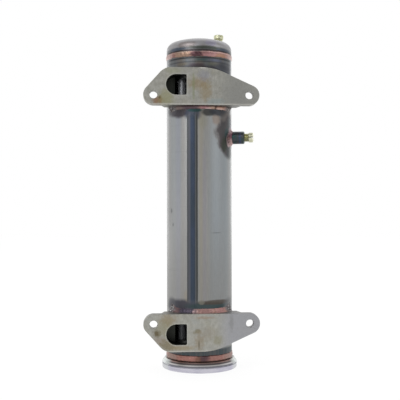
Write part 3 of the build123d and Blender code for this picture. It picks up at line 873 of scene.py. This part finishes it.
def plug(name, node, look, seat, outward, slot_across):
    """Slotted screw plug: threaded neck under a chamfered head that a slot parts."""
    outward = Vector(outward).normalized()
    side = Vector(slot_across).normalized()
    other = outward.cross(side)
    work = bmesh.new()
    step, sunk, rows = 0.125, 1.0, 48
    heights = [(step * row - sunk) * MM for row in range(rows)]
    revolve(work, [(thread(height), height) for height in heights])
    bevel = 0.7 * MM
    top = PLUG_NECK_H + PLUG_HEAD_H
    floor = top - PLUG_SLOT_DEPTH
    revolve(work, [
        (PLUG_HEAD_R - bevel, PLUG_NECK_H),
        (PLUG_HEAD_R, PLUG_NECK_H + bevel),
        (PLUG_HEAD_R, floor),
    ])
    for direction in (1, -1):
        half = bmesh.new()
        revolve(half, [(PLUG_HEAD_R, floor), (PLUG_HEAD_R, top - bevel), (PLUG_HEAD_R - bevel, top)])
        cut = bmesh.ops.bisect_plane(
            half, geom=half.verts[:] + half.edges[:] + half.faces[:],
            plane_co=(direction * PLUG_SLOT_W / 2, 0, 0), plane_no=(-direction, 0, 0), clear_outer=True,
        )
        rim = [edge for edge in cut["geom_cut"] if isinstance(edge, bmesh.types.BMEdge)]
        bmesh.ops.contextual_create(half, geom=rim)
        scrap = bpy.data.meshes.new("scrap")
        half.to_mesh(scrap)
        half.free()
        work.from_mesh(scrap)
        bpy.data.meshes.remove(scrap)
    bmesh.ops.recalc_face_normals(work, faces=work.faces)
    mesh = bpy.data.meshes.new(name)
    work.to_mesh(mesh)
    work.free()
    mesh.transform(Matrix((
        (side.x, other.x, outward.x, seat[0]),
        (side.y, other.y, outward.y, seat[1]),
        (side.z, other.z, outward.z, seat[2]),
        (0, 0, 0, 1),
    )))
    add_piece(name, mesh, look, "plug_brass", node, rounded=False)


# ---------------------------------------------------------------- dressing the part

add_camera()
copper_cap = copper("copper_cap", (
    ((-34, 359.6), (16, 4.5), 0.75, (152, 128, 110)),
    ((-53, 358.5), (4, 3), 0.7, (124, 88, 84)),
    ((-8, 359.0), (11, 4.2), 0.94, (84, 60, 66)),
    ((9, 359.4), (7, 4), 0.7, (158, 116, 120)),
    ((22, 360), (11, 3), 0.6, (174, 132, 136)),
    ((36, 358.4), (11, 2.4), 0.65, (166, 128, 104)),
    ((68, 359.6), (16, 5), 0.7, (186, 164, 160)),
    ((-72, 359.6), (14, 5), 0.7, (184, 162, 158)),
    # Painted highlights along the band's upper ridge
    ((26, 362.0), (30, 0.7), 0.6, (214, 178, 172)),
    ((-8, 362.4), (12, 0.6), 0.6, (160, 142, 146)),
    ((-34, 362.2), (14, 0.6), 0.5, (186, 170, 158)),
), soot_and_shadow=0.35, ripple=0.09)
copper_collar = copper("copper_collar", (
    ((-58, 15), (16, 6), 0.7, (142, 122, 114)),
    ((-26, 15), (20, 5), 0.7, (158, 110, 102)),
    ((5, 15), (9, 6), 0.9, (84, 66, 72)),
    ((-6, 14), (5, 4), 0.7, (112, 82, 70)),
    ((26, 15), (16, 5), 0.7, (152, 110, 104)),
    ((62, 15), (14, 6), 0.6, (150, 126, 120)),
    # Painted shade lines along the band's upper and lower edges
    ((0, 18.6), (90, 0.9), 0.7, (72, 50, 50)),
    ((0, 11.8), (90, 0.8), 0.7, (74, 54, 46)),
), soot_and_shadow=0.5, ripple=0.09)
copper_upper = copper("copper_upper", (
    ((-40, 299), (15, 6), 0.85, (104, 96, 94)),
    ((-17, 299), (15, 6), 0.92, (82, 70, 78)),
    ((7, 299), (9, 3.5), 0.75, (146, 108, 114)),
    ((19, 299), (6, 4), 0.75, (160, 138, 122)),
    ((26, 299), (2.5, 5), 0.9, (62, 48, 44)),
    ((36, 299), (9, 4), 0.65, (164, 130, 110)),
    # Painted highlights along the lower edge
    ((12, 297.6), (5, 0.7), 0.7, (206, 176, 174)),
    ((35, 297.6), (9, 0.8), 0.7, (204, 178, 170)),
    ((-62, 297), (15, 9), 0.88, (104, 104, 104)),
    ((60, 297), (14, 9), 0.88, (112, 112, 112)),
    # Painted shadow under the plate
    ((0, 300.7), (60, 1.5), 0.8, (56, 42, 42)),
    ((-2, 296.5), (46, 0.7), 0.75, (54, 46, 50)),
), soot_and_shadow=0.35, ripple=0.11, spatter_and_glint=0.85)
copper_lower = copper("copper_lower", (
    ((-42, 69), (16, 7), 0.9, (104, 84, 86)),
    ((-24, 70), (17, 8), 0.97, (72, 68, 80)),
    ((-10, 68), (6, 3.4), 0.4, (190, 160, 156)),
    ((8, 69.5), (14, 4), 0.55, (178, 140, 140)),
    ((34, 69.5), (10, 4), 0.55, (166, 124, 126)),
    ((-64, 71), (13, 9), 0.9, (104, 104, 107)),
    ((60, 71), (13, 9), 0.88, (116, 116, 118)),
    ((14, 72.2), (36, 0.7), 0.8, (66, 50, 54)),
), soot_and_shadow=0.35, ripple=0.11, spatter_and_glint=0.85)
copper_vent = copper("copper_vent", (
    ((66, 272), (20, 4.5), 0.7, (140, 122, 130)),
    ((70, 267), (11, 5), 0.85, (104, 68, 82)),
    ((66, 259.5), (18, 5.5), 0.7, (172, 148, 148)),
    ((88, 257), (12, 6), 0.9, (70, 60, 62)),
), soot_and_shadow=0.3, ripple=0.1)

upper_flange = flange_steel("flange_steel_upper", (
    ((-4, 325), (10, 6), 0.6, (152, 134, 104)),
    ((5, 317), (6, 11), 0.5, (152, 134, 98)),
    ((-9, 322), (1.5, 14), 0.5, (134, 142, 106)),
    ((3, 334), (7, 6), 0.45, (146, 146, 160)),
    ((-49, 305.5), (5.5, 4), 0.8, (142, 108, 80)),
    ((-47, 309), (1.6, 1.6), 0.9, (92, 66, 56)),
    ((-40, 308), (8, 9), 0.6, (152, 150, 108)),
    ((16, 304), (9, 4), 0.45, (142, 160, 164)),
    ((-20, 339), (8, 3), 0.4, (164, 162, 160)),
    ((-30, 339), (9, 3), 0.4, (154, 158, 128)),
    ((40, 312), (16, 16), 0.4, (140, 140, 138)),
    # Painted highlight on a small chip in the top edge
    ((1.4, 342.8), (3.4, 0.7), 0.8, (232, 231, 224)),
), clean_side=(160, 160, 155), port_z=UPPER_PORT_Z, foot_z=UPPER_FOOT_Z)
lower_flange = flange_steel("flange_steel_lower", (
    ((-5, 46.5), (3.6, 2.6), 0.7, (124, 116, 88)),
    ((6, 44), (9, 7), 0.45, (148, 140, 128)),
    ((-38, 60), (8, 6), 0.6, (152, 136, 108)),
    ((-42, 50), (9, 9), 0.5, (146, 140, 108)),
    ((-50.5, 45), (3.6, 3.6), 0.85, (102, 90, 62)),
    ((-47, 37), (7, 4), 0.5, (150, 136, 122)),
    ((-3, 35), (5, 9), 0.55, (144, 130, 108)),
    ((18, 37), (5, 5), 0.5, (142, 138, 112)),
    ((-38, 32), (8, 6), 0.65, (126, 112, 78)),
    ((-22, 28.5), (12, 2.6), 0.6, (150, 134, 102)),
    ((-3.4, 31), (0.5, 4.4), 0.85, (84, 78, 58)),
    ((4, 62), (10, 1.4), 0.5, (156, 132, 112)),
    ((33, 56), (2.4, 8), 0.4, (128, 128, 126)),
), clean_side=(163, 164, 170), port_z=LOWER_PORT_Z, foot_z=LOWER_FOOT_Z)

looks = {
    "shell_steel": shell_steel(),
    "cap_steel": cap_steel(),
    "turned_steel": turned_steel(),
    "boss_steel": boss_steel(),
    "inner_steel": inner_steel(),
    "tube_steel": tube_steel(),
    "plug_brass": plug_brass(),
    "copper_braze": copper_cap,
}
node_looks = {"upper_port_flange": upper_flange, "lower_port_flange": lower_flange}
slots = {row["node"]: row["material_slot"] for row in frame["record"]["subparts"]}
for name, node in frame["nodes"].items():
    node.data.materials.clear()
    node.data.materials.append(node_looks.get(name) or looks[slots[name]])

braze_band(
    "cap_band", "end_cap_braze", copper_cap, seed=1.0, beads=46, low_climb=1.6, high_climb=0.8,
)
braze_band(
    "collar_band", "end_collar_braze", copper_collar, seed=7.0, beads=42, low_climb=0.0, high_climb=0.0,
)
saddle_braze(
    "upper_fillet", "upper_saddle_braze", "upper_port_flange", copper_upper,
    below=True, width=4.4, spread=2.4, seed=3.0,
)
saddle_braze(
    "lower_fillet", "lower_saddle_braze", "lower_port_flange", copper_lower,
    below=False, width=5.7, spread=4.6, seed=5.0,
)
for side_name, side in (("left", -1), ("right", 1)):
    flank_braze(
        f"upper_flank_{side_name}", "upper_port_flange", copper_upper,
        below=True, side=side, seed=2.0 + side,
    )
    flank_braze(
        f"lower_flank_{side_name}", "lower_port_flange", copper_lower,
        below=False, side=side, seed=5.0 + side,
    )
vent_braze("vent_fillet", "vent_boss_braze", copper_vent)
cap_boss_braze("cap_fillet", "cap_boss_braze", copper_cap)

vent_seat = VENT_OUT * (SHELL_R + VENT_BOSS_H) + Vector((0, 0, box_middle("vent_boss")[2]))
plug("vent_screw", "vent_plug", looks["plug_brass"], vent_seat, VENT_OUT, (0, 0, 1))
cap_seat = (*box_middle("cap_plug")[:2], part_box("cap_plug")[1].z - PLUG_NECK_H - PLUG_HEAD_H)
cap_slot = (math.cos(CAP_PLUG_TURN), math.sin(CAP_PLUG_TURN), 0)
plug("cap_screw", "cap_plug", looks["plug_brass"], cap_seat, (0, 0, 1), cap_slot)

# ---------------------------------------------------------------- floor, light and background


def add_floor():
    """Plain pale floor that keeps the shadow and looks white to the camera and in reflections."""
    side = 4
    corners = [(-side, -side, 0), (side, -side, 0), (side, side, 0), (-side, side, 0)]
    mesh = bpy.data.meshes.new("floor")
    mesh.from_pydata(corners, [], [(0, 1, 2, 3)])
    made = bpy.data.materials.new("floor")
    made.use_nodes = True
    tree = Tree(made.node_tree)
    path = tree.node("ShaderNodeLightPath")
    seen = tree.math("MAXIMUM", path.outputs["Is Camera Ray"], path.outputs["Is Glossy Ray"])
    matte = tree.node("ShaderNodeBsdfDiffuse", {"Color": FLOOR_GREY})
    glow = tree.node("ShaderNodeEmission", {"Color": WHITE, "Strength": FLOOR_GLOW})
    both = tree.node("ShaderNodeMixShader", {"Fac": tree.math("MULTIPLY", seen, GLOW_SHARE)})
    tree.feed(both.inputs[1], matte.outputs[0])
    tree.feed(both.inputs[2], glow.outputs[0])
    tree.node("ShaderNodeOutputMaterial", {"Surface": both.outputs[0]})
    mesh.materials.append(made)
    floor = bpy.data.objects.new("floor", mesh)
    bpy.context.scene.collection.objects.link(floor)


def add_world():
    """White behind the object, softer grey on the side that the camera stands on."""
    world = bpy.data.worlds.new("world")
    bpy.context.scene.world = world
    world.use_nodes = True
    tree = Tree(world.node_tree)
    place = tree.node("ShaderNodeTexCoord").outputs["Generated"]
    axes = tree.node("ShaderNodeSeparateXYZ", {"Vector": place})
    depth = tree.ease(axes.outputs["Y"], -0.5, 0.5, 0.55, 1.0)
    path = tree.node("ShaderNodeLightPath")
    level = tree.math("MAXIMUM", path.outputs["Is Camera Ray"], depth)
    sky = tree.node("ShaderNodeBackground", {"Color": WHITE, "Strength": level})
    tree.node("ShaderNodeOutputWorld", {"Surface": sky.outputs[0]})


def add_lamp(name, place, size, power):
    """A soft square lamp that looks at the object."""
    data = bpy.data.lights.new(name, "AREA")
    data.shape = "SQUARE"
    data.size = size
    data.energy = power
    lamp = bpy.data.objects.new(name, data)
    lamp.location = place
    lamp.rotation_euler = (Vector(LAMP_AIM) - Vector(place)).to_track_quat("-Z", "Y").to_euler()
    bpy.context.scene.collection.objects.link(lamp)


add_floor()
add_world()
add_lamp("key", (-1.1, -1.3, 1.1), size=0.9, power=9)
add_lamp("fill", (1.4, -0.9, 0.7), size=0.9, power=2.5)
add_lamp("left_rim", (-0.8, 1.5, 0.4), size=0.6, power=1.6)
add_lamp("right_rim", (0.8, 1.5, 0.4), size=0.6, power=1.6)
bpy.context.scene.view_settings.view_transform = "Standard"
